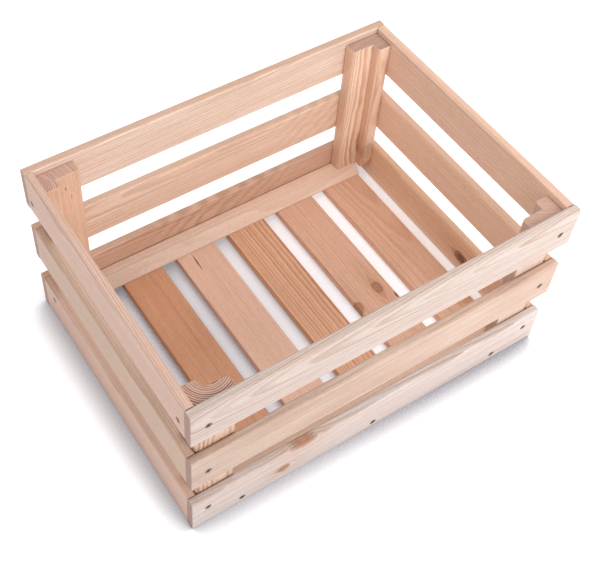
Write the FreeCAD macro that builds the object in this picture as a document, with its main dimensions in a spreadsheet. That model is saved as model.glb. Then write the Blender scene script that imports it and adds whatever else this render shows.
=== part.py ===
import FreeCAD, Part
import os
import Sketcher

# Open slatted toy box: three rails on each side, an L-section post in each corner,
# and a slatted floor held under two cleats. Millimetres. The origin is at the middle
# of the footprint, X runs along the long sides, Y from front to back, and Z is up.

doc = FreeCAD.newDocument("toy_box")
sheet = doc.addObject("Spreadsheet::Sheet", "sheet")

DIMENSIONS = [
    ("box_length", 400), ("box_width", 297), ("box_height", 200),
    ("rail_height", 47), ("rail_thickness", 9), ("rail_round", 2.5), ("end_break", 0.5),
    ("post_long_leg", 38.5), ("post_short_leg", 23.5),
    ("post_long_wall", 13.5), ("post_short_wall", 14.5), ("post_drop", 7),
    ("post_corner_round", 4.5), ("post_nose_round", 3), ("post_edge_break", 0.6),
    ("cleat_length", 367), ("cleat_width", 23), ("cleat_height", 21), ("cleat_flat", 13),
    ("cleat_lip", 1.5), ("cleat_back_round", 2), ("rebate_depth", 12), ("rebate_height", 10),
    ("slat_width", 46), ("slat_pitch", 63.8), ("slat_length", 255), ("slat_thickness", 9),
    ("slat_round", 1.5), ("floor_shift", 6.5),
    ("screw_head_radius", 3.5), ("screw_shank_radius", 1.75), ("screw_hole_radius", 2),
    ("screw_length", 18), ("screw_sink", 0.3), ("screw_tip", 4), ("pilot_depth", 9.4),
    ("cross_half_length", 1.6), ("cross_half_width", 0.45), ("cross_depth", 1.1),
    ("nail_head_radius", 2), ("nail_head_height", 1), ("nail_shank_radius", 0.9),
    ("nail_length", 14), ("nail_tip", 2), ("nail_spread", 13), ("nail_inset", 17),
    ("nail_hole_depth", 5.4),
    ("corner_screw_inset", 7.5), ("upper_screw_rise", 22), ("low_screw_rise", 29),
    ("cleat_screw_reach", 147.5), ("cleat_screw_rise", 9),
    ("side_front_inset", 10.5), ("side_front_rise", 16.5),
    ("side_back_inset", 7), ("side_back_rise", 14.5),
    ("side_low_inset", 19.5), ("side_low_rise", 33),
]
SLAT_COUNT = 6


class Size:
    """A number together with the sheet formula that gives it."""

    def __init__(self, value, formula):
        self.value = float(value)
        self.formula = formula

    def __add__(self, other):
        other = as_size(other)
        return Size(self.value + other.value, "(%s + %s)" % (self.formula, other.formula))

    def __sub__(self, other):
        other = as_size(other)
        return Size(self.value - other.value, "(%s - %s)" % (self.formula, other.formula))

    def __mul__(self, factor):
        return Size(self.value * factor, "(%s * %s)" % (self.formula, factor))

    def __neg__(self):
        return self * -1


def as_size(item):
    """Accept plain numbers wherever a Size is expected."""
    if isinstance(item, Size):
        return item
    return Size(item, str(item))


cell = {}
for row, (name, value) in enumerate(DIMENSIONS, start=1):
    sheet.set("A%d" % row, name)
    sheet.set("B%d" % row, str(value))
    sheet.setAlias("B%d" % row, name)
    cell[name] = Size(value, "sheet." + name)
doc.recompute()

ZERO = as_size(0)
half_length = cell["box_length"] * 0.5
half_width = cell["box_width"] * 0.5
inner_half_length = half_length - cell["rail_thickness"]
inner_half_width = half_width - cell["rail_thickness"]
side_rail_length = inner_half_width * 2
rail_step = (cell["box_height"] - cell["rail_height"]) * 0.5
post_top = cell["box_height"] - cell["post_drop"]
post_foot = cell["cleat_height"]

Z_AXIS = FreeCAD.Vector(0, 0, 1)
UPRIGHT = FreeCAD.Rotation(Z_AXIS, 0)
HALF_TURN = FreeCAD.Rotation(Z_AXIS, 180)
FROM_LEFT = FreeCAD.Rotation(Z_AXIS, -90)
FROM_RIGHT = FreeCAD.Rotation(Z_AXIS, 90)
OVER_X = FreeCAD.Rotation(FreeCAD.Vector(1, 0, 0), 180)
OVER_Y = FreeCAD.Rotation(FreeCAD.Vector(0, 1, 0), 180)

nodes = []


def place(piece, rotation, position):
    """Turn a piece and tie its position to the sheet."""
    piece.Placement = FreeCAD.Placement(FreeCAD.Vector(*[p.value for p in position]), rotation)
    for axis, coordinate in zip("xyz", position):
        piece.setExpression("Placement.Base." + axis, coordinate.formula)


def new_body(label):
    body = doc.addObject("PartDesign::Body", label)
    body.Label = label
    return body


def new_sketch(body, name, role, lift=ZERO):
    """An empty sketch on one of the body's own planes, lifted along its normal."""
    sketch = body.newObject("Sketcher::SketchObject", name)
    plane = [feature for feature in body.Origin.OriginFeatures if feature.Role == role][0]
    sketch.AttachmentSupport = [(plane, "")]
    sketch.MapMode = "FlatFace"
    if lift.value:
        sketch.AttachmentOffset = FreeCAD.Placement(FreeCAD.Vector(0, 0, lift.value), UPRIGHT)
        sketch.setExpression("AttachmentOffset.Base.z", lift.formula)
    return sketch


def pin_point(sketch, item, end, x, y):
    """Hold a sketch point at sheet-driven coordinates."""
    for kind, axis, coordinate in (("DistanceX", -2, x), ("DistanceY", -1, y)):
        if coordinate.value == 0:
            sketch.addConstraint(Sketcher.Constraint("PointOnObject", item, end, axis))
            continue
        index = sketch.addConstraint(
            Sketcher.Constraint(kind, -1, 1, item, end, coordinate.value))
        sketch.setExpression("Constraints[%d]" % index, coordinate.formula)


def draw_outline(sketch, corners):
    """A closed outline of straight lines through the corners."""
    points = [FreeCAD.Vector(x.value, y.value, 0) for x, y in corners]
    count = len(points)
    for index in range(count):
        sketch.addGeometry(Part.LineSegment(points[index], points[(index + 1) % count]), False)
    for index in range(count):
        following = (index + 1) % count
        sketch.addConstraint(Sketcher.Constraint("Coincident", index, 2, following, 1))
    for index, (x, y) in enumerate(corners):
        pin_point(sketch, index, 1, x, y)


def draw_circles(sketch, centres, radius):
    """One circle at each centre."""
    for x, y in centres:
        centre = FreeCAD.Vector(x.value, y.value, 0)
        item = sketch.addGeometry(Part.Circle(centre, Z_AXIS, radius.value), False)
        pin_point(sketch, item, 3, x, y)
        index = sketch.addConstraint(Sketcher.Constraint("Radius", item, radius.value))
        sketch.setExpression("Constraints[%d]" % index, radius.formula)


def add_pad(body, sketch, name, length):
    pad = body.newObject("PartDesign::Pad", name)
    pad.Profile = sketch
    pad.Length = length.value
    pad.setExpression("Length", length.formula)
    sketch.Visibility = False
    doc.recompute()
    return pad


def matching_edges(feature, test):
    """Names of the feature's edges whose end points pass the test."""
    names = []
    for index, edge in enumerate(feature.Shape.Edges, start=1):
        if test(edge.Vertexes[0].Point, edge.Vertexes[-1].Point):
            names.append("Edge%d" % index)
    return names


def dress_edges(body, base, kind, name, test, size):
    """Fillet or chamfer the edges that pass the test."""
    dressing = body.newObject("PartDesign::" + kind, name)
    dressing.Base = (base, matching_edges(base, test))
    field = "Radius" if kind == "Fillet" else "Size"
    setattr(dressing, field, size.value)
    dressing.setExpression(field, size.formula)
    doc.recompute()
    return dressing


def drill(body, sketch, name, radius, depth=None, away=False, cut=None):
    """Drill one hole at each circle, right through or to a depth."""
    doc.recompute()
    hole = body.newObject("PartDesign::Hole", name)
    hole.Profile = sketch
    hole.Threaded = False
    hole.ThreadType = "None"
    hole.Diameter = radius.value * 2
    hole.setExpression("Diameter", (radius * 2).formula)
    hole.DrillPoint = "Flat"
    hole.Reversed = away
    if depth is None:
        hole.DepthType = "ThroughAll"
    else:
        hole.DepthType = "Dimension"
        hole.Depth = depth.value
        hole.setExpression("Depth", depth.formula)
    if cut:
        hole.HoleCutType = cut
        hole.HoleCutCustomValues = True
    if cut == "Countersink":
        hole.HoleCutCountersinkAngle = 90
        hole.HoleCutDiameter = cell["screw_head_radius"].value * 2
        hole.setExpression("HoleCutDiameter", (cell["screw_head_radius"] * 2).formula)
    if cut == "Counterbore":
        hole.HoleCutDiameter = cell["nail_head_radius"].value * 2
        hole.setExpression("HoleCutDiameter", (cell["nail_head_radius"] * 2).formula)
        hole.HoleCutDepth = cell["nail_head_height"].value
        hole.setExpression("HoleCutDepth", cell["nail_head_height"].formula)
    sketch.Visibility = False
    doc.recompute()
    return hole


def runs_along(axis):
    """Test for an edge parallel to X, Y or Z."""
    others = [index for index in range(3) if index != axis]

    def test(start, end):
        level = all(abs(start[index] - end[index]) < 1e-6 for index in others)
        return level and abs(start[axis] - end[axis]) > 1
    return test


def lies_at(axis, places):
    """Test for an edge that stays at one of the places along an axis."""
    def test(start, end):
        return any(abs(start[axis] - spot) < 1e-6 and abs(end[axis] - spot) < 1e-6
                   for spot in places)
    return test


def upright_at(places):
    """Test for an edge parallel to Z that stands at one of the XY places."""
    vertical = runs_along(2)

    def test(start, end):
        return vertical(start, end) and any(
            abs(start.x - x) < 1e-6 and abs(start.y - y) < 1e-6 for x, y in places)
    return test


def make_rail(label, length, screws, rotation, position):
    """A rail with its outer face on the XZ plane, drilled and countersunk from there."""
    body = new_body(label)
    profile = new_sketch(body, label + "_section", "YZ_Plane")
    thickness = cell["rail_thickness"]
    height = cell["rail_height"]
    draw_outline(profile, [(ZERO, ZERO), (thickness, ZERO), (thickness, height), (ZERO, height)])
    pad = add_pad(body, profile, label + "_length", length)
    rounded = dress_edges(body, pad, "Fillet", label + "_rounded_edges",
                          runs_along(0), cell["rail_round"])
    dress_edges(body, rounded, "Chamfer", label + "_broken_ends",
                lies_at(0, (0, length.value)), cell["end_break"])
    if screws:
        centres = new_sketch(body, label + "_screw_centres", "XZ_Plane")
        draw_circles(centres, screws, cell["screw_hole_radius"])
        drill(body, centres, label + "_screw_holes", cell["screw_hole_radius"], cut="Countersink")
    place(body, rotation, position)
    nodes.append(body)


def make_post(label, rotation, position, turned_over, side_screws):
    """An L-section post with its outer corner on the Z axis and a pilot for each screw."""
    body = new_body(label)
    profile = new_sketch(body, label + "_section", "XY_Plane")
    draw_outline(profile, [
        (ZERO, ZERO),
        (cell["post_long_leg"], ZERO),
        (cell["post_long_leg"], cell["post_long_wall"]),
        (cell["post_short_wall"], cell["post_long_wall"]),
        (cell["post_short_wall"], cell["post_short_leg"]),
        (ZERO, cell["post_short_leg"]),
    ])
    length = post_top - post_foot
    pad = add_pad(body, profile, label + "_length", length)
    corner = dress_edges(body, pad, "Fillet", label + "_outer_corner",
                         upright_at([(0, 0)]), cell["post_corner_round"])
    noses = [(cell["post_long_leg"].value, cell["post_long_wall"].value),
             (cell["post_short_wall"].value, cell["post_short_leg"].value)]
    nosed = dress_edges(body, corner, "Fillet", label + "_noses",
                        upright_at(noses), cell["post_nose_round"])
    tips = [(cell["post_long_leg"].value, 0), (0, cell["post_short_leg"].value)]
    broken = dress_edges(body, nosed, "Fillet", label + "_edge_breaks",
                         upright_at(tips), cell["post_edge_break"])
    dress_edges(body, broken, "Chamfer", label + "_broken_ends",
                lies_at(2, (0, length.value)), cell["end_break"])

    def local_height(height):
        return post_top - height if turned_over else height - post_foot

    long_side = new_sketch(body, label + "_long_side_pilots", "XZ_Plane")
    draw_circles(long_side, [(cell["corner_screw_inset"], local_height(height))
                             for height in corner_screw_heights], cell["screw_shank_radius"])
    drill(body, long_side, label + "_long_side_pilot_holes", cell["screw_shank_radius"],
          cell["pilot_depth"])
    short_side = new_sketch(body, label + "_short_side_pilots", "YZ_Plane")
    draw_circles(short_side, [(inset, local_height(height)) for inset, height in side_screws],
                 cell["screw_shank_radius"])
    drill(body, short_side, label + "_short_side_pilot_holes", cell["screw_shank_radius"],
          cell["pilot_depth"], away=True)
    place(body, rotation, position)
    nodes.append(body)


def make_cleat(label, screw_places, rotation, position):
    """A cleat with a bevelled top edge and a rebate below it for the ends of the slats."""
    body = new_body(label)
    profile = new_sketch(body, label + "_section", "YZ_Plane")
    leg = cell["cleat_width"] - cell["rebate_depth"]
    draw_outline(profile, [
        (ZERO, ZERO),
        (leg, ZERO),
        (leg, cell["rebate_height"]),
        (cell["cleat_width"], cell["rebate_height"]),
        (cell["cleat_width"], cell["rebate_height"] + cell["cleat_lip"]),
        (cell["cleat_flat"], cell["cleat_height"]),
        (ZERO, cell["cleat_height"]),
    ])
    pad = add_pad(body, profile, label + "_length", cell["cleat_length"])

    def top_back_edge(start, end):
        along = runs_along(0)
        return along(start, end) and abs(start.y) < 1e-6 and start.z > cell["cleat_height"].value - 1
    rounded = dress_edges(body, pad, "Fillet", label + "_back_round", top_back_edge,
                          cell["cleat_back_round"])
    dress_edges(body, rounded, "Chamfer", label + "_broken_ends",
                lies_at(0, (0, cell["cleat_length"].value)), cell["end_break"])
    pilots = new_sketch(body, label + "_screw_pilots", "XZ_Plane")
    draw_circles(pilots, [(x, cell["cleat_screw_rise"]) for x in screw_places],
                 cell["screw_shank_radius"])
    drill(body, pilots, label + "_screw_pilot_holes", cell["screw_shank_radius"],
          cell["pilot_depth"])
    nails = new_sketch(body, label + "_nail_places", "XY_Plane", cell["rebate_height"])
    draw_circles(nails, [(x + cell["cleat_length"] * 0.5, cell["nail_inset"])
                         for x in nail_places], cell["nail_shank_radius"])
    drill(body, nails, label + "_nail_holes", cell["nail_shank_radius"],
          cell["nail_hole_depth"], away=True)
    place(body, rotation, position)
    nodes.append(body)


def make_slat(label, centre):
    """A floor slat that runs from front to back, nailed from below at both ends."""
    body = new_body(label)
    profile = new_sketch(body, label + "_outline", "XY_Plane")
    width = cell["slat_width"]
    length = cell["slat_length"]
    draw_outline(profile, [(ZERO, ZERO), (width, ZERO), (width, length), (ZERO, length)])
    pad = add_pad(body, profile, label + "_thickness", cell["slat_thickness"])
    dress_edges(body, pad, "Fillet", label + "_rounded_edges", runs_along(1), cell["slat_round"])
    end_inset = cell["nail_inset"] + length * 0.5 - inner_half_width
    nails = new_sketch(body, label + "_nail_places", "XY_Plane")
    spread = cell["nail_spread"]
    draw_circles(nails, [(width * 0.5 + side, y)
                         for side in (-spread, spread)
                         for y in (end_inset, length - end_inset)], cell["nail_shank_radius"])
    drill(body, nails, label + "_nail_holes", cell["nail_shank_radius"], away=True,
          cut="Counterbore")
    place(body, UPRIGHT, (centre - width * 0.5, -length * 0.5,
                          cell["rebate_height"] - cell["slat_thickness"]))
    nodes.append(body)


def revolve_profile(body, name, corners):
    """Turn a closed outline on the XY plane about the Y axis."""
    profile = new_sketch(body, name + "_profile", "XY_Plane")
    draw_outline(profile, corners)
    turned = body.newObject("PartDesign::Revolution", name + "_turned")
    turned.Profile = profile
    turned.ReferenceAxis = (profile, ["V_Axis"])
    turned.Angle = 360
    profile.Visibility = False
    doc.recompute()


def make_screw_pattern():
    """A countersunk cross-head wood screw that points along +Y from the rail's face."""
    body = new_body("wood_screw_pattern")
    sink = cell["screw_sink"]
    head = cell["screw_head_radius"]
    shank = cell["screw_shank_radius"]
    revolve_profile(body, "wood_screw", [
        (ZERO, sink),
        (head - sink, sink),
        (shank, head - shank),
        (shank, cell["screw_length"] - cell["screw_tip"]),
        (ZERO, cell["screw_length"]),
    ])
    arm = cell["cross_half_length"]
    side = cell["cross_half_width"]
    for name, across, along in (("level", arm, side), ("upright", side, arm)):
        slot = new_sketch(body, "wood_screw_%s_slot" % name, "XZ_Plane", -sink)
        draw_outline(slot, [(-across, -along), (across, -along), (across, along), (-across, along)])
        pocket = body.newObject("PartDesign::Pocket", "wood_screw_%s_recess" % name)
        pocket.Profile = slot
        pocket.Length = cell["cross_depth"].value
        pocket.setExpression("Length", cell["cross_depth"].formula)
        slot.Visibility = False
        doc.recompute()
    return body


def make_nail_pattern():
    """A flat-headed nail that points along +Y from the slat's underside."""
    body = new_body("floor_nail_pattern")
    revolve_profile(body, "floor_nail", [
        (ZERO, ZERO),
        (cell["nail_head_radius"], ZERO),
        (cell["nail_head_radius"], cell["nail_head_height"]),
        (cell["nail_shank_radius"], cell["nail_head_height"]),
        (cell["nail_shank_radius"], cell["nail_length"] - cell["nail_tip"]),
        (ZERO, cell["nail_length"]),
    ])
    return body


def make_group(label, pattern, rotation, positions):
    """Separate copies of one fastener, kept together as one group."""
    copies = []
    for index, position in enumerate(positions, start=1):
        link = doc.addObject("App::Link", "%s_%d" % (label, index))
        link.LinkedObject = pattern
        spin = FreeCAD.Rotation(FreeCAD.Vector(0, 1, 0), 37 * index)
        place(link, rotation.multiply(spin), position)
        copies.append(link)
    group = doc.addObject("Part::Compound", label)
    group.Label = label
    group.Links = copies
    nodes.append(group)


# Screw places shared by the rails, the posts and the screws themselves.
levels = [("bottom", ZERO), ("middle", rail_step), ("top", rail_step * 2)]
rises = {
    "bottom": cell["low_screw_rise"],
    "middle": cell["upper_screw_rise"],
    "top": cell["upper_screw_rise"],
}
corner_screw_heights = [base + rises[name] for name, base in levels]
corner_inset = cell["rail_thickness"] + cell["corner_screw_inset"]
corner_screw_places = [corner_inset, cell["box_length"] - corner_inset]
cleat_screw_offsets = [-cell["cleat_screw_reach"], ZERO, cell["cleat_screw_reach"]]
top_base = rail_step * 2
side_front = (cell["side_front_inset"], top_base + cell["side_front_rise"])
side_back = (cell["side_back_inset"], top_base + cell["side_back_rise"])
side_low = (cell["side_low_inset"], cell["side_low_rise"])

slat_offsets = [cell["slat_pitch"] * (index - (SLAT_COUNT - 1) / 2) for index in range(SLAT_COUNT)]
nail_places = [offset + side
               for offset in slat_offsets
               for side in (-cell["nail_spread"], cell["nail_spread"])]

# Long rails, which cover the ends of the short ones.
for name, base in levels:
    long_screws = [(x, rises[name]) for x in corner_screw_places]
    if name == "bottom":
        long_screws += [(half_length + x, cell["cleat_screw_rise"]) for x in cleat_screw_offsets]
    make_rail("front_rail_" + name, cell["box_length"], long_screws,
              UPRIGHT, (-half_length, -half_width, base))
    make_rail("back_rail_" + name, cell["box_length"], long_screws,
              HALF_TURN, (half_length, half_width, base))

# Short rails. The middle ones have no screws.
for name, base in levels:
    places = {"top": [side_front, side_back], "bottom": [side_low], "middle": []}[name]
    left_screws = []
    right_screws = []
    for place_on_post in places:
        inset, height = place_on_post
        from_end = side_rail_length - inset
        at_front = place_on_post is side_front
        left_screws.append((from_end if at_front else inset, height - base))
        right_screws.append((inset if at_front else from_end, height - base))
    make_rail("left_rail_" + name, side_rail_length, left_screws,
              FROM_LEFT, (-half_length, inner_half_width, base))
    make_rail("right_rail_" + name, side_rail_length, right_screws,
              FROM_RIGHT, (half_length, -inner_half_width, base))

# Corner posts, all cut from the same moulding; two of them stand the other way up.
make_post("corner_post_front_left", UPRIGHT, (-inner_half_length, -inner_half_width, post_foot),
          False, [side_front])
make_post("corner_post_front_right", OVER_Y, (inner_half_length, -inner_half_width, post_top),
          True, [side_front])
make_post("corner_post_back_left", OVER_X, (-inner_half_length, inner_half_width, post_top),
          True, [side_back, side_low])
make_post("corner_post_back_right", HALF_TURN, (inner_half_length, inner_half_width, post_foot),
          False, [side_back, side_low])

# Floor.
half_cleat = cell["cleat_length"] * 0.5
shift = cell["floor_shift"]
make_cleat("floor_cleat_front", [half_cleat + shift + x for x in cleat_screw_offsets],
           UPRIGHT, (-half_cleat - shift, -inner_half_width, ZERO))
make_cleat("floor_cleat_back", [half_cleat - shift - x for x in cleat_screw_offsets],
           HALF_TURN, (half_cleat - shift, inner_half_width, ZERO))
for index, offset in enumerate(slat_offsets, start=1):
    make_slat("floor_slat_%d" % index, offset - shift)

# Fasteners.
screw = make_screw_pattern()
nail = make_nail_pattern()
corner_x = half_length - corner_inset
corner_spots = [(x, height) for x in (-corner_x, corner_x) for height in corner_screw_heights]
cleat_rise = cell["cleat_screw_rise"]
for side, rotation, face in (("front", UPRIGHT, -half_width), ("back", HALF_TURN, half_width)):
    make_group(side + "_corner_screws", screw, rotation,
               [(x, face, height) for x, height in corner_spots])
    make_group(side + "_cleat_screws", screw, rotation,
               [(x, face, cleat_rise) for x in cleat_screw_offsets])
side_spots = [(side_front[0] - inner_half_width, side_front[1]),
              (inner_half_width - side_back[0], side_back[1]),
              (inner_half_width - side_low[0], side_low[1])]
for side, rotation, face in (("left", FROM_LEFT, -half_length), ("right", FROM_RIGHT, half_length)):
    make_group(side + "_side_screws", screw, rotation, [(face, y, z) for y, z in side_spots])

UPWARD = FreeCAD.Rotation(FreeCAD.Vector(1, 0, 0), 90)
slat_underside = cell["rebate_height"] - cell["slat_thickness"]
nail_line = inner_half_width - cell["nail_inset"]
for side, y in (("front", -nail_line), ("back", nail_line)):
    make_group("floor_nails_" + side, nail, UPWARD,
               [(x - shift, y, slat_underside) for x in nail_places])

doc.recompute()

for item in doc.Objects:
    if "Invalid" in item.State or "Error" in item.State:
        raise RuntimeError("%s did not rebuild: %s" % (item.Label, item.State))

os.makedirs("parts", exist_ok=True)
for node in nodes:
    shape = node.Shape
    if shape.isNull() or not shape.isValid() or not shape.Solids:
        raise RuntimeError("%s has no sound shape" % node.Label)
    shape.exportStep("parts/%s.step" % node.Label)
    print("%-28s solids %2d  volume %.1f" % (node.Label, len(shape.Solids), shape.Volume))
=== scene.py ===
"""Looks, light and camera for the slatted pine toy box. Metres, in the CAD frame:
X along the long sides, Y from front to back, Z up, with the origin on the ground."""
import math
from collections import namedtuple

import bpy
from mathutils import Matrix, Vector


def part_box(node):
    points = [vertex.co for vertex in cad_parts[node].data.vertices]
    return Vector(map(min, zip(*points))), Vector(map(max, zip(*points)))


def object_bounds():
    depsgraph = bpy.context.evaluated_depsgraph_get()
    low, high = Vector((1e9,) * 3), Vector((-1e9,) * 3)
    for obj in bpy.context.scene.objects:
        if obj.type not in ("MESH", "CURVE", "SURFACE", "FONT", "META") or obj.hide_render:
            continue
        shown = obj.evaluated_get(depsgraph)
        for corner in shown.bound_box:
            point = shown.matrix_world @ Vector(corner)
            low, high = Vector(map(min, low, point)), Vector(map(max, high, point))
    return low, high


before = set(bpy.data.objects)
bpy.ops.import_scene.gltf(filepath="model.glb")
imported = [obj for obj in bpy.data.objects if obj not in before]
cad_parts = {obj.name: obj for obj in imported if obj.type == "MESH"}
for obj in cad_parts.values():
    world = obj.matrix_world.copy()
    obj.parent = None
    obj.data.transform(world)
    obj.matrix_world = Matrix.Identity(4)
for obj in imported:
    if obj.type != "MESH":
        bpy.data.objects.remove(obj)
cad_low, cad_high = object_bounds()

MM = 0.001
# How far the painted shade in creases and joints looks for nearby surfaces.
PAINTED_CREVICE_SHADE_REACH = 3 * MM
# How far the painted shadow on the floor reaches beside the box, and how far it reaches in under
# the box's edge.
PAINTED_SHADOW_REACH = 39 * MM
PAINTED_SHADOW_UNDERCUT = 8 * MM


# ---------------------------------------------------------------- node building

class Graph:
    """Short calls that add nodes to one node tree and wire them up."""

    def __init__(self, tree):
        self.tree = tree

    def node(self, kind, inputs=None, **settings):
        made = self.tree.nodes.new(kind)
        for name, value in settings.items():
            setattr(made, name, value)
        for key, value in (inputs or {}).items():
            self.feed(made.inputs[key], value)
        return made

    def feed(self, socket, value):
        if isinstance(value, bpy.types.NodeSocket):
            self.tree.links.new(value, socket)
        else:
            socket.default_value = value

    def math(self, operation, *values):
        inputs = dict(enumerate(values))
        return self.node("ShaderNodeMath", inputs, operation=operation).outputs[0]

    def add(self, *values):
        total = values[0]
        for value in values[1:]:
            total = self.math("ADD", total, value)
        return total

    def times(self, *values):
        product = values[0]
        for value in values[1:]:
            product = self.math("MULTIPLY", product, value)
        return product

    def less(self, first, second):
        return self.math("SUBTRACT", first, second)

    def ratio(self, first, second):
        return self.math("DIVIDE", first, second)

    def line(self, value, slope, start):
        return self.math("MULTIPLY_ADD", value, slope, start)

    def square(self, value):
        return self.math("POWER", value, 2.0)

    def larger(self, first, second):
        return self.math("MAXIMUM", first, second)

    def size(self, value):
        return self.math("ABSOLUTE", value)

    def scaled(self, vector, factor):
        made = self.node("ShaderNodeVectorMath", {0: vector, "Scale": factor}, operation="SCALE")
        return made.outputs["Vector"]

    def split(self, vector):
        return self.node("ShaderNodeSeparateXYZ", {0: vector}).outputs

    def join(self, *values):
        return self.node("ShaderNodeCombineXYZ", dict(enumerate(values))).outputs[0]

    def smooth(self, value, low, high):
        """0 below low, 1 above high, with a smooth rise between them. It falls if low > high."""
        inputs = {"Value": value, "From Min": low, "From Max": high}
        return self.node("ShaderNodeMapRange", inputs, interpolation_type="SMOOTHSTEP").outputs[0]

    def noise(self, vector, scale=1.0, detail=2.0, roughness=0.5, **settings):
        """Noise with a mean near 0, between about -1 and 1."""
        key = "W" if settings.get("noise_dimensions") == "1D" else "Vector"
        inputs = {key: vector, "Scale": scale, "Detail": detail, "Roughness": roughness}
        raw = self.node("ShaderNodeTexNoise", inputs, **settings).outputs[0]
        return self.line(raw, 2.0, -1.0)

    def blend(self, amount, first, second):
        made = self.node("ShaderNodeMix", data_type="RGBA", blend_type="MIX")
        self.feed(made.inputs[0], amount)
        self.feed(made.inputs[6], first)
        self.feed(made.inputs[7], second)
        return made.outputs[2]


def new_group(name, inputs, outputs):
    """An empty shader group with those sockets. Returns the tree, its graph, inputs and outputs."""
    kinds = {"float": "NodeSocketFloat", "vector": "NodeSocketVector", "color": "NodeSocketColor"}
    tree = bpy.data.node_groups.new(name, "ShaderNodeTree")
    for in_out, sockets in (("INPUT", inputs), ("OUTPUT", outputs)):
        for socket, kind in sockets.items():
            tree.interface.new_socket(socket, in_out=in_out, socket_type=kinds[kind])
    graph = Graph(tree)
    return tree, graph, graph.node("NodeGroupInput").outputs, graph.node("NodeGroupOutput").inputs


def group_node(graph, tree, **inputs):
    """One use of a group. Its socket names are given with _ for each space."""
    made = graph.node("ShaderNodeGroup", node_tree=tree)
    for name, value in inputs.items():
        graph.feed(made.inputs[name.replace("_", " ")], value)
    return made


def new_material(name):
    material = bpy.data.materials.new(name)
    material.use_nodes = True
    material.node_tree.nodes.clear()
    return material, Graph(material.node_tree)


def add_surface(graph, inputs):
    """The material's one Principled shader, with those inputs."""
    shader = graph.node("ShaderNodeBsdfPrincipled", inputs)
    graph.node("ShaderNodeOutputMaterial", {"Surface": shader.outputs[0]})


# ---------------------------------------------------------------- colours

def linear(red, green, blue):
    """A colour given as 0-255 display values, as the linear values that shaders use."""
    def straighten(value):
        value = value / 255
        return value / 12.92 if value <= 0.04045 else ((value + 0.055) / 1.055) ** 2.4
    return (straighten(red), straighten(green), straighten(blue), 1.0)


def shaded(color, shade):
    """The colour with each channel scaled, kept below full white."""
    brightest = 0.95
    return tuple(min(value * factor, brightest) for value, factor in zip(color, shade)) + (1.0,)


CREAM = linear(221, 198, 184)
BLUSH = linear(202, 163, 147)
HONEY = linear(172, 128, 102)
SAND = linear(213, 178, 152)
TAN = linear(206, 158, 128)
RUST = linear(172, 108, 70)
AMBER = linear(150, 92, 60)
ROSE = linear(206, 160, 136)
BROWN = linear(196, 145, 114)
POST_TOP = linear(200, 163, 145)

CANAL = (0.26, 0.12, 0.06, 1.0)
SAWN_END = (0.43, 0.285, 0.24, 1.0)
SAWN_RING = (0.15, 0.07, 0.045, 1.0)
KNOT_GLOW = (0.56, 0.32, 0.19, 1.0)
KNOT_CORE = (0.36, 0.15, 0.07, 1.0)
KNOT_BARK = (0.14, 0.05, 0.025, 1.0)
RESIN = (0.15, 0.055, 0.03, 1.0)
# The colour of the painted shade in creases and joints.
PAINTED_CREVICE_SHADE = (0.15, 0.065, 0.035, 1.0)

SCREW_METAL = linear(122, 101, 90)
NAIL_METAL = linear(150, 148, 146)

# The paper, its tooth, and the colour of the painted shadow on it.
PAPER = (0.87, 0.875, 0.895, 1.0)
PAPER_TOOTH = (0.55, 0.55, 0.57, 1.0)
PAPER_PAINTED_SHADOW = (0.25, 0.242, 0.264, 1.0)


# ---------------------------------------------------------------- pine
# Board coordinates are millimetres from the board's middle: X along the grain,
# Y across the wide face, Z through the thickness.

# A branch through the board. Flow is how far the parted grain is drawn out along the board.
# Heartwood and bark are the strengths of its core and of its dark rim.
Knot = namedtuple("Knot", "along across radius flow heartwood bark")

# A pocket of resin. Slant is its slope across the board.
Pocket = namedtuple("Pocket", "along across length width slant")


def make_knot_group():
    """A branch through the board, with rings of its own. The grain flows round it."""
    marks = {"Board": "vector", "Core": "float", "Rim": "float", "Halo": "float"}
    shape = {"Centre": "vector", "Radius": "float", "Flow": "float", "Heartwood": "float",
             "Bark": "float"}
    tree, g, given, result = new_group("knot", {**marks, **shape}, marks)
    along, across, depth = g.split(given["Board"])
    centre = g.split(given["Centre"])
    off_along = g.less(along, centre[0])
    off_across = g.less(across, centre[1])
    area = g.square(given["Radius"])

    # How far out a point is: 1 at the knot's edge, which is ragged and longer along the grain.
    ragged = g.noise(given["Board"], 0.22, 2.0)
    distance = g.math("SQRT", g.add(g.square(g.times(off_along, 0.72)), g.square(off_across)))
    outward = g.add(g.ratio(distance, given["Radius"]), g.times(ragged, 0.16))

    # Grain lines take the paths of a stream that parts round a post.
    spread = g.add(g.square(g.ratio(off_along, given["Flow"])), g.square(off_across))
    push = g.ratio(area, g.larger(spread, 0.5))
    kept = g.larger(g.less(1.0, push), 0.0)
    parted = g.line(off_across, kept, centre[1])
    g.feed(result["Board"], g.join(along, parted, depth))

    turns = g.math("SINE", g.times(outward, 13.0))
    core = g.times(g.smooth(outward, 1.05, 0.82), g.line(turns, 0.2, 0.8), given["Heartwood"])
    g.feed(result["Core"], g.larger(given["Core"], core))
    broken = g.line(g.smooth(g.noise(given["Board"], 0.3, 1.0), -0.5, 0.5), 0.6, 0.4)
    rim = g.times(g.smooth(outward, 0.74, 0.95), g.smooth(outward, 1.32, 1.06), given["Bark"],
                  broken)
    g.feed(result["Rim"], g.larger(given["Rim"], rim))
    fade = g.times(g.ratio(spread, g.times(area, 5.0)), -1.0)
    g.feed(result["Halo"], g.larger(given["Halo"], g.math("EXPONENT", fade)))
    return tree


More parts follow.
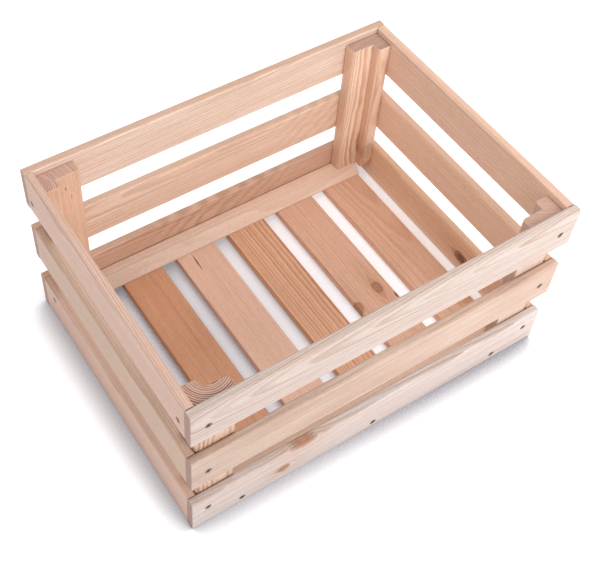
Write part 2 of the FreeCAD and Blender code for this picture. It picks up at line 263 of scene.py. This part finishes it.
def make_pocket_group():
    """A narrow pocket of resin, pointed at both ends, that lies along the grain."""
    tree, g, given, result = new_group(
        "resin_pocket",
        {"Board": "vector", "Dark": "float", "Centre": "vector", "Length": "float",
         "Width": "float", "Slant": "float"},
        {"Dark": "float"})
    along, across, _ = g.split(given["Board"])
    centre = g.split(given["Centre"])
    off_along = g.less(along, centre[0])
    off_across = g.less(g.less(across, centre[1]), g.times(off_along, given["Slant"]))
    waver = g.times(g.noise(given["Board"], 0.25, 1.0), 0.35)
    reach = g.square(g.ratio(g.times(off_along, 2.0), given["Length"]))
    spread = g.size(g.ratio(g.times(off_across, 2.0), given["Width"]))
    inside = g.smooth(g.add(reach, spread, waver), 1.15, 0.55)
    g.feed(result["Dark"], g.larger(given["Dark"], inside))
    return tree


def make_pine_group():
    """Growth rings round a heart beside the board, with streaks, fibres and sawn end grain.
    It also paints shade into creases and joints and onto the narrow edges, and paints light as a
    slope of paleness along the board.
    Board has been moved aside by the knots and Raw hasn't. Flame is (middle, reach, amount)."""
    vectors = ("Board", "Raw", "Heart", "Tilt", "Flame")
    colors = ("Early", "Late", "Stain", "Sawn")
    numbers = ("Core", "Rim", "Halo", "Resin", "End", "Edge", "Crevice", "Ring Width", "Wander",
               "Contrast", "Seed", "Stain Amount", "Sawn Rings", "Fade")
    sockets = {**dict.fromkeys(vectors, "vector"), **dict.fromkeys(colors, "color"),
               **dict.fromkeys(numbers, "float")}
    tree, g, given, result = new_group(
        "pine", sockets, {"Color": "color", "Height": "float", "Roughness": "float"})
    along, across, depth = g.split(given["Board"])
    raw_along, raw_across, raw_depth = g.split(given["Raw"])
    heart = g.split(given["Heart"])
    tilt = g.split(given["Tilt"])
    seed = given["Seed"]

    def stretched(length_scale, width_scale, shift=0.0):
        """Coordinates for noise that is drawn out along the grain."""
        return g.join(g.line(raw_along, length_scale, seed), g.line(raw_across, width_scale, shift),
                      g.times(raw_depth, width_scale))

    def carried(length_scale, width_scale):
        """The same, from coordinates that the knots have moved."""
        return g.join(g.line(along, length_scale, seed), g.times(across, width_scale),
                      g.times(depth, width_scale))

    # The rings: the heart runs beside the board, at a slight angle to it and not quite straight.
    sway = g.noise(carried(0.006, 0.012), 1.0, 1.0)
    ripple = g.noise(carried(0.035, 0.11), 1.0, 2.0)
    from_across = g.less(g.less(across, heart[1]), g.times(along, tilt[1]))
    from_depth = g.less(g.less(depth, heart[2]), g.times(along, tilt[2]))
    radius = g.math("SQRT", g.add(g.square(from_across), g.square(from_depth)))
    radius = g.add(radius, g.times(sway, given["Wander"]), g.times(ripple, 0.6))
    uneven = g.noise(g.line(radius, 0.09, seed), 1.0, 1.0, noise_dimensions="1D")
    rings = g.add(g.ratio(radius, given["Ring Width"]), g.times(uneven, 0.9))

    # In each ring the wood darkens slowly and then stops short.
    phase = g.math("FRACT", rings)
    late = g.times(g.smooth(phase, 0.25, 0.82), g.smooth(phase, 1.0, 0.9))
    strength = g.noise(g.line(g.math("FLOOR", rings), 0.73, seed), 1.0, 0.0,
                       noise_dimensions="1D")
    late = g.times(late, g.line(strength, 0.6, 0.8))

    # Noise, from wide patches to fine fibres. Resin canals show as short dark dashes.
    patch = g.noise(stretched(0.012, 0.05, 3.0), 1.0, 2.0, 0.5)
    streak = g.noise(stretched(0.005, 0.22), 1.0, 2.0, 0.6)
    thread = g.noise(stretched(0.011, 0.55, 9.0), 1.0, 2.0, 0.6)
    speckle = g.noise(stretched(0.22, 0.8, 5.0), 1.0, 2.0, 0.65)
    fibre = g.noise(stretched(0.03, 1.3, 7.0), 1.0, 3.0, 0.6)
    canal = g.smooth(g.noise(stretched(0.11, 1.5, 11.0), 1.0, 0.0), 0.52, 0.75)

    wave = g.add(1.0, g.times(patch, 0.5), g.times(given["Halo"], 0.9))
    color = g.blend(g.times(late, given["Contrast"], wave), given["Early"], given["Late"])
    stained = g.smooth(g.add(streak, g.times(patch, 0.6)), -0.5, 0.9)
    color = g.blend(g.times(stained, given["Stain Amount"]), color, given["Stain"])
    color = g.blend(g.times(g.smooth(thread, -0.1, 0.9), 0.4), color, given["Late"])
    # Painted shade: the narrow edges are darkened towards the ring colour.
    color = g.blend(given["Edge"], color, given["Late"])

    # Flame figure: soft slanting bands over part of the board's length.
    flame = g.split(given["Flame"])
    out = g.ratio(g.less(raw_along, flame[0]), flame[1])
    slanting = g.add(g.times(raw_along, 0.3), g.times(raw_across, -0.36), g.times(ripple, 2.4),
                     g.times(sway, 6.0))
    bands = g.times(g.math("SINE", slanting), g.smooth(g.size(out), 1.0, 0.3),
                    g.line(patch, 0.7, 0.9), flame[2])
    color = g.blend(g.larger(g.times(bands, 0.7), 0.0), color, given["Late"])
    color = g.blend(g.larger(g.times(bands, -1.1), 0.0), color, given["Early"])

    color = g.blend(g.times(g.smooth(fibre, -0.1, 0.9), 0.28), color, given["Late"])
    color = g.blend(g.times(canal, 0.3), color, CANAL)
    sawn = g.blend(g.times(late, given["Sawn Rings"]), given["Sawn"], SAWN_RING)
    color = g.blend(given["End"], color, sawn)
    color = g.blend(g.times(given["Halo"], 0.35), color, KNOT_GLOW)
    color = g.blend(given["Core"], color, KNOT_CORE)
    color = g.blend(g.times(given["Rim"], 0.8), color, KNOT_BARK)
    color = g.blend(g.times(given["Resin"], 0.85), color, RESIN)
    # Painted shade in creases and joints, where other parts come close.
    color = g.blend(given["Crevice"], color, PAINTED_CREVICE_SHADE)
    # Painted light: the colour grows paler along the board by the given slope, besides its random
    # patches and specks.
    tone_and_painted_light = g.add(1.0, g.times(raw_along, given["Fade"]), g.times(speckle, 0.16),
                 g.times(patch, 0.07))
    g.feed(result["Color"], g.scaled(color, tone_and_painted_light))

    g.feed(result["Height"], g.add(g.times(late, 0.5), g.times(fibre, 0.4),
                                   g.times(canal, -0.6), g.times(given["Rim"], -0.5)))
    g.feed(result["Roughness"], g.add(0.58, g.times(given["End"], 0.2), g.times(fibre, 0.06),
                                      g.times(late, -0.06), g.times(given["Resin"], -0.2)))
    return tree


KNOT_GROUP = make_knot_group()
POCKET_GROUP = make_pocket_group()
PINE_GROUP = make_pine_group()


def board_axes(node):
    """The node's axes from its longest to its shortest, and the centre of its box."""
    low, high = (Vector(corner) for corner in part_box(node))
    size = high - low
    order = sorted(range(3), key=lambda axis: -size[axis])
    return order, (low + high) / 2


def pine_material(node, seed, early, late, stain, shade=(1, 1, 1), heart=(0, 40, -35),
                  tilt=(0, 0.02, 0.02), ring_width=2.4, wander=2.5, contrast=0.45,
                  stain_amount=0.5, sawn=SAWN_END, sawn_rings=0.2, painted_edge_shade=0.2,
                  flame=(0, 1, 0), fade=0.0, knots=(), resin=()):
    """Pine for one board, with its grain in that board's own direction.

    early, late and stain are the pale wood, the ring lines and the streaks, all scaled by shade,
    which is partly the board's own colour and partly painted light.
    heart is where the tree's middle passes, in mm from the board's middle, and tilt its slope.
    wander is how far the rings stray in mm, and contrast how dark their lines are.
    planed darkens the narrow edges, as painted shade; sawn and sawn_rings colour the ends.
    flame is where the wavy figure has its middle and how far it reaches, in mm, and its strength.
    fade is painted light: how much paler the wood gets for each mm along the board, as if
    more light fell on one end."""
    material, g = new_material("pine_" + node)
    order, centre = board_axes(node)
    place = g.node("ShaderNodeTexCoord").outputs
    centred = g.node("ShaderNodeVectorMath", {0: place["Object"], 1: tuple(centre)},
                     operation="SUBTRACT").outputs["Vector"]
    parts = g.split(g.scaled(centred, 1 / MM))
    board = g.join(*[parts[axis] for axis in order])
    facing = g.split(place["Normal"])
    ends = g.smooth(g.size(facing[order[0]]), 0.6, 0.85)
    # Painted shade on the narrow edges, the faces across the board's width.
    edges = g.times(g.smooth(g.size(facing[order[1]]), 0.5, 0.9), painted_edge_shade)
    # Painted shade: an occlusion test darkens the wood in creases and joints, where shade falls.
    painted_shade_ao = g.node("ShaderNodeAmbientOcclusion", {"Distance": PAINTED_CREVICE_SHADE_REACH}, samples=6)
    painted_crevice_shade = g.times(g.smooth(painted_shade_ao.outputs["AO"], 0.6, 0.15), 0.42)

    state = {"Board": board, "Core": 0.0, "Rim": 0.0, "Halo": 0.0}
    for knot in knots:
        made = group_node(g, KNOT_GROUP, Centre=(knot.along, knot.across, 0.0),
                          Radius=knot.radius, Flow=knot.flow, Heartwood=knot.heartwood,
                          Bark=knot.bark, **state)
        state = {name: made.outputs[name] for name in state}
    dark = 0.0
    for pocket in resin:
        made = group_node(g, POCKET_GROUP, Board=board, Dark=dark,
                          Centre=(pocket.along, pocket.across, 0.0), Length=pocket.length,
                          Width=pocket.width, Slant=pocket.slant)
        dark = made.outputs["Dark"]

    early, late, stain = (shaded(color, shade) for color in (early, late, stain))
    wood = group_node(g, PINE_GROUP, Raw=board, Resin=dark, End=ends, Edge=edges,
                      Crevice=painted_crevice_shade, Heart=heart, Tilt=tilt, Ring_Width=ring_width,
                      Wander=wander, Contrast=contrast, Seed=seed, Early=early, Late=late,
                      Stain=stain, Stain_Amount=stain_amount, Sawn=sawn, Sawn_Rings=sawn_rings,
                      Flame=flame, Fade=fade, **state)
    bump = g.node("ShaderNodeBump", {"Strength": 0.35, "Distance": 0.15 * MM,
                                     "Height": wood.outputs["Height"]})
    add_surface(g, {
        "Base Color": wood.outputs["Color"],
        "Roughness": wood.outputs["Roughness"],
        "Specular IOR Level": 0.25,
        "Normal": bump.outputs["Normal"],
    })
    return material


# What the boards of each kind share, and then what sets single boards apart. Their shade values
# are partly the boards' own colours and partly painted light: the boards inside the box are made
# paler, to stand in for light.
# The fade values paint light: the front rails and the cleat grow paler towards their right ends and
# darker towards their left, where less light falls.
KINDS = {
    "front_rail": dict(shade=(0.9, 0.93, 0.94), early=CREAM, late=HONEY, stain=BLUSH,
                       stain_amount=0.7, contrast=0.6, painted_edge_shade=0.1, fade=0.0005),
    "back_rail": dict(shade=(1.24, 1.42, 1.58), early=SAND, late=HONEY, stain=CREAM,
                      contrast=0.6, painted_edge_shade=0.35),
    "left_rail": dict(shade=(0.98, 1.03, 1.14), early=SAND, late=HONEY, stain=BLUSH,
                      contrast=0.6, painted_edge_shade=0.05),
    "right_rail": dict(shade=(1.36, 1.46, 1.54), early=SAND, late=HONEY, stain=BLUSH,
                       contrast=0.5, painted_edge_shade=0.4),
    "post": dict(shade=(1.25, 1.28, 1.32), early=SAND, late=AMBER, stain=ROSE, contrast=0.6,
                 ring_width=1.8, tilt=(0, 0.004, 0.006), wander=2.0, sawn=POST_TOP,
                 sawn_rings=1.1),
    "cleat": dict(shade=(1.24, 1.43, 1.62), early=SAND, late=HONEY, stain=ROSE,
                  heart=(0, 40, -40), contrast=0.25, fade=0.001),
    "slat": dict(shade=(1.25, 1.4, 1.5), early=TAN, late=RUST, stain=ROSE),
}
BOARDS = {
    "front_rail_top": dict(shade=(0.86, 0.95, 1.01), heart=(0, 13, -24), tilt=(0, 0.03, 0.05),
                           ring_width=2.6, contrast=0.55),
    "front_rail_middle": dict(shade=(0.91, 1.0, 0.99), early=BLUSH, stain=CREAM,
                              heart=(0, 60, -25), tilt=(0, -0.03, 0), ring_width=3.0,
                              contrast=0.5, painted_edge_shade=0.0, fade=0.0007),
    "front_rail_bottom": dict(shade=(0.93, 1.08, 1.2), heart=(0, 55, -25), tilt=(0, 0.04, 0),
                              ring_width=2.8,
                              knots=[Knot(-103, -3, 4.6, 2.4, 0.9, 0.7),
                                     Knot(-82, 27, 9.0, 1.6, 0.8, 0.4)]),
    "back_rail_top": dict(heart=(0, 60, -30), tilt=(0, 0.06, 0), ring_width=3.0, painted_edge_shade=0.8),
    "back_rail_middle": dict(shade=(1.22, 1.3, 1.38), heart=(0, 24, -42), tilt=(0, 0.08, 0.02),
                             ring_width=1.6, wander=1.5, contrast=0.55, flame=(125, 70, 0.35)),
    "back_rail_bottom": dict(shade=(1.08, 1.05, 1.06), heart=(0, 30, -40), ring_width=1.7,
                             wander=1.5, contrast=0.65, flame=(5, 115, 0.6)),
    "left_rail_top": dict(heart=(0, 20, -34), ring_width=2.2),
    "left_rail_middle": dict(shade=(0.9, 0.98, 1.04)),
    "right_rail_top": dict(shade=(1.3, 1.39, 1.48)),
    "right_rail_bottom": dict(shade=(1.36, 1.4, 1.36),
                              knots=[Knot(-44.5, -2, 6.4, 2.4, 1.0, 1.0)],
                              resin=[Pocket(-44.5, -2, 15, 11, 0)]),
    "floor_slat_2": dict(shade=(1.02, 1.02, 1.0), early=BROWN, stain=TAN, stain_amount=0.7,
                         contrast=0.32),
    "floor_slat_3": dict(shade=(1.2, 1.43, 1.7), heart=(0, 50, -30), ring_width=1.9,
                         contrast=0.35, resin=[Pocket(103, -6.5, 27, 2.2, 0.03)]),
    "floor_slat_4": dict(shade=(1.15, 1.24, 1.27), heart=(0, 30, -28), tilt=(0, 0, 0),
                         ring_width=2.6, wander=1.5, contrast=0.95),
    "floor_slat_5": dict(shade=(1.22, 1.4, 1.6), heart=(0, 50, -30), ring_width=2.0,
                         contrast=0.55,
                         knots=[Knot(-23, 9.4, 4.6, 3.0, 0.8, 0.75),
                                Knot(-34, -21.5, 4.6, 3.0, 0.9, 0.8)],
                         resin=[Pocket(-41, 21.8, 9, 5, 0)]),
    "floor_slat_6": dict(shade=(1.28, 1.46, 1.6), heart=(0, 14, -50), tilt=(0, 0.02, 0.03),
                         ring_width=1.9, contrast=0.4),
    "corner_post_front_left": dict(shade=(1.0, 1.08, 1.16), heart=(0, 6, 12), ring_width=2.0,
                                   contrast=0.8),
    "corner_post_back_left": dict(shade=(1.18, 1.2, 1.24), heart=(0, -28, -4), ring_width=2.0,
                                  contrast=0.15, sawn_rings=0.65,
                                  resin=[Pocket(69, 3.3, 6, 1.1, 0), Pocket(56, 8, 7, 1.1, 0)]),
    "corner_post_back_right": dict(shade=(1.49, 2.03, 2.5), early=TAN, late=RUST,
                                   stain_amount=0.2, heart=(0, 12, -73), ring_width=1.35,
                                   wander=1.4, contrast=0.95,
                                   knots=[Knot(-63, 12, 7.5, 1.7, 0.35, 0.3)]),
    "corner_post_front_right": dict(shade=(1.08, 1.28, 1.5), late=HONEY, heart=(0, 25, 40),
                                    ring_width=1.6, contrast=0.4, sawn_rings=0.4),
}


# ---------------------------------------------------------------- metal

def metal_material(name, color, roughness, metallic):
    """Metal with a fine mottle that darkens, roughens and dents it."""
    material, g = new_material(name)
    place = g.node("ShaderNodeTexCoord").outputs["Object"]
    mottle = g.noise(place, 900.0, 3.0, 0.6)
    darker = shaded(color, (0.45, 0.45, 0.45))
    bump = g.node("ShaderNodeBump", {"Strength": 0.25, "Distance": 0.05 * MM, "Height": mottle})
    add_surface(g, {
        "Base Color": g.blend(g.smooth(mottle, -0.5, 0.6), color, darker),
        "Metallic": metallic,
        "Roughness": g.line(mottle, 0.08, roughness),
        "Normal": bump.outputs["Normal"],
    })
    return material


dark_screw = metal_material("dark_screw", SCREW_METAL, 0.5, 0.45)
bright_nail = metal_material("bright_nail", NAIL_METAL, 0.35, 1.0)

FIRST_SEED, SEED_STEP = 1.3, 3.7

for index, (name, piece) in enumerate(sorted(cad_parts.items())):
    if name.endswith("screws"):
        material = dark_screw
    elif "nails" in name:
        material = bright_nail
    else:
        kind = next(word for word in KINDS if word in name)
        look = {**KINDS[kind], **BOARDS.get(name, {})}
        material = pine_material(name, SEED_STEP * index + FIRST_SEED, **look)
    for slot in piece.material_slots:
        slot.material = material


# ---------------------------------------------------------------- floor and light

FLOOR_HALF = 6.0
# Where along X the painted shadow on the floor is lightest and where it is deepest.
PAINTED_SHADOW_LEAST_AT, PAINTED_SHADOW_MOST_AT = 0.16, -0.14

LIGHT_DISTANCE = 1.8
LIGHT_SIZE = 1.2
LIGHT_TARGET = Vector((0, 0, 0.08))
# Which way each light lies from the box, and its power in watts.
LIGHTS = {
    "overhead": ((0.2, 0.1, 1.0), 8.0),
    "front": ((0.12, -1.0, 0.7), 20.5),
    "back": ((0.2, 1.0, 1.2), 3.0),
    "left": ((-1.0, 0.0, 0.6), 6.0),
    "right": ((1.0, 0.1, 1.0), 5.0),
}
SKY_COLOR = (1.0, 0.99, 1.0, 1.0)
SKY_STRENGTH = 0.45


def paper_material():
    """White paper with a fine tooth and a painted shadow. The painted shadow makes it grey close
    beside the box, and inside the box's footprint a pale grey at the right end and a deeper one at
    the left. Its faint glow carries the same painted shadow."""
    material, g = new_material("paper")
    place = g.node("ShaderNodeTexCoord").outputs["Object"]
    right, back, _ = g.split(place)
    # Painted shadow: near the box an occlusion test greys the paper, a little less on its left
    # side; inside the box's footprint the paper is greyed as well, more towards the left.
    beyond = g.larger(g.less(g.size(right), cad_high[0]), g.less(g.size(back), cad_high[1]))
    outside = g.smooth(beyond, -PAINTED_SHADOW_UNDERCUT, 0.0)
    under = g.less(1.0, outside)
    painted_shadow_leftness = g.smooth(right, PAINTED_SHADOW_LEAST_AT, PAINTED_SHADOW_MOST_AT)
    painted_shadow_weight = g.add(g.times(outside, g.line(painted_shadow_leftness, -0.2, 1.0)), g.times(under, painted_shadow_leftness, 0.6))
    painted_shade_ao = g.node("ShaderNodeAmbientOcclusion", {"Distance": PAINTED_SHADOW_REACH}, samples=8)
    painted_shade_under_box = g.times(under, g.line(painted_shadow_leftness, 0.3, 0.07))
    painted_shadow = g.add(painted_shade_under_box, g.times(painted_shadow_weight, g.smooth(painted_shade_ao.outputs["AO"], 0.93, 0.5)))
    shade = g.blend(painted_shadow, PAPER, PAPER_PAINTED_SHADOW)
    tooth = g.noise(place, 620.0, 3.0, 0.7)
    grain = g.blend(g.smooth(tooth, -0.1, 0.7), shade, PAPER_TOOTH)
    add_surface(g, {
        "Base Color": grain,
        "Roughness": 0.9,
        "Specular IOR Level": 0.2,
        "Emission Color": grain,
        "Emission Strength": 0.5,
    })
    return material


def add_floor():
    mesh = bpy.data.meshes.new("floor")
    corners = [(-1, -1), (1, -1), (1, 1), (-1, 1)]
    mesh.from_pydata([(x * FLOOR_HALF, y * FLOOR_HALF, 0) for x, y in corners], [], [(0, 1, 2, 3)])
    mesh.materials.append(paper_material())
    floor = bpy.data.objects.new("floor", mesh)
    bpy.context.scene.collection.objects.link(floor)


def add_area_light(name, direction, power):
    """A soft white disk of light that faces the box from that direction."""
    data = bpy.data.lights.new(name, "AREA")
    data.shape = "DISK"
    data.size = LIGHT_SIZE
    data.energy = power
    lamp = bpy.data.objects.new(name, data)
    bpy.context.scene.collection.objects.link(lamp)
    away = Vector(direction).normalized()
    lamp.location = LIGHT_TARGET + away * LIGHT_DISTANCE
    lamp.rotation_mode = "QUATERNION"
    lamp.rotation_quaternion = away.to_track_quat("Z", "Y")


add_floor()
for name, (direction, power) in LIGHTS.items():
    add_area_light(name, direction, power)
world = bpy.data.worlds.new("studio")
bpy.context.scene.world = world
world.use_nodes = True
background = world.node_tree.nodes["Background"]
background.inputs["Color"].default_value = SKY_COLOR
background.inputs["Strength"].default_value = SKY_STRENGTH


# ---------------------------------------------------------------- camera
# It looks down on the front left corner, and is turned a little on its own axis. The focal
# length and the sensor are in millimetres, and the shifts are in widths of the picture.

AZIMUTH, ELEVATION, ROLL = (math.radians(angle) for angle in (-34.6, 52.2, 2.7))
CAMERA_DISTANCE = 1.033
CAMERA_TARGET = Vector((-0.0381, 0.0225, 0.1))
SENSOR_WIDTH = 36.0
FOCAL_LENGTH = 64.86
SHIFT_RIGHT, SHIFT_UP = 0.0903, -0.038

away = Vector((math.sin(AZIMUTH) * math.cos(ELEVATION), -math.cos(AZIMUTH) * math.cos(ELEVATION),
               math.sin(ELEVATION)))
camera_data = bpy.data.cameras.new("camera")
camera_data.sensor_width = SENSOR_WIDTH
camera_data.lens = FOCAL_LENGTH
camera_data.shift_x = SHIFT_RIGHT
camera_data.shift_y = SHIFT_UP
camera = bpy.data.objects.new("camera", camera_data)
bpy.context.scene.collection.objects.link(camera)
camera.location = CAMERA_TARGET + away * CAMERA_DISTANCE
camera.rotation_mode = "QUATERNION"
camera.rotation_quaternion = (away.to_track_quat("Z", "Y")
                              @ Matrix.Rotation(ROLL, 3, "Z").to_quaternion())
bpy.context.scene.camera = camera
bpy.context.scene.view_settings.view_transform = "Standard"
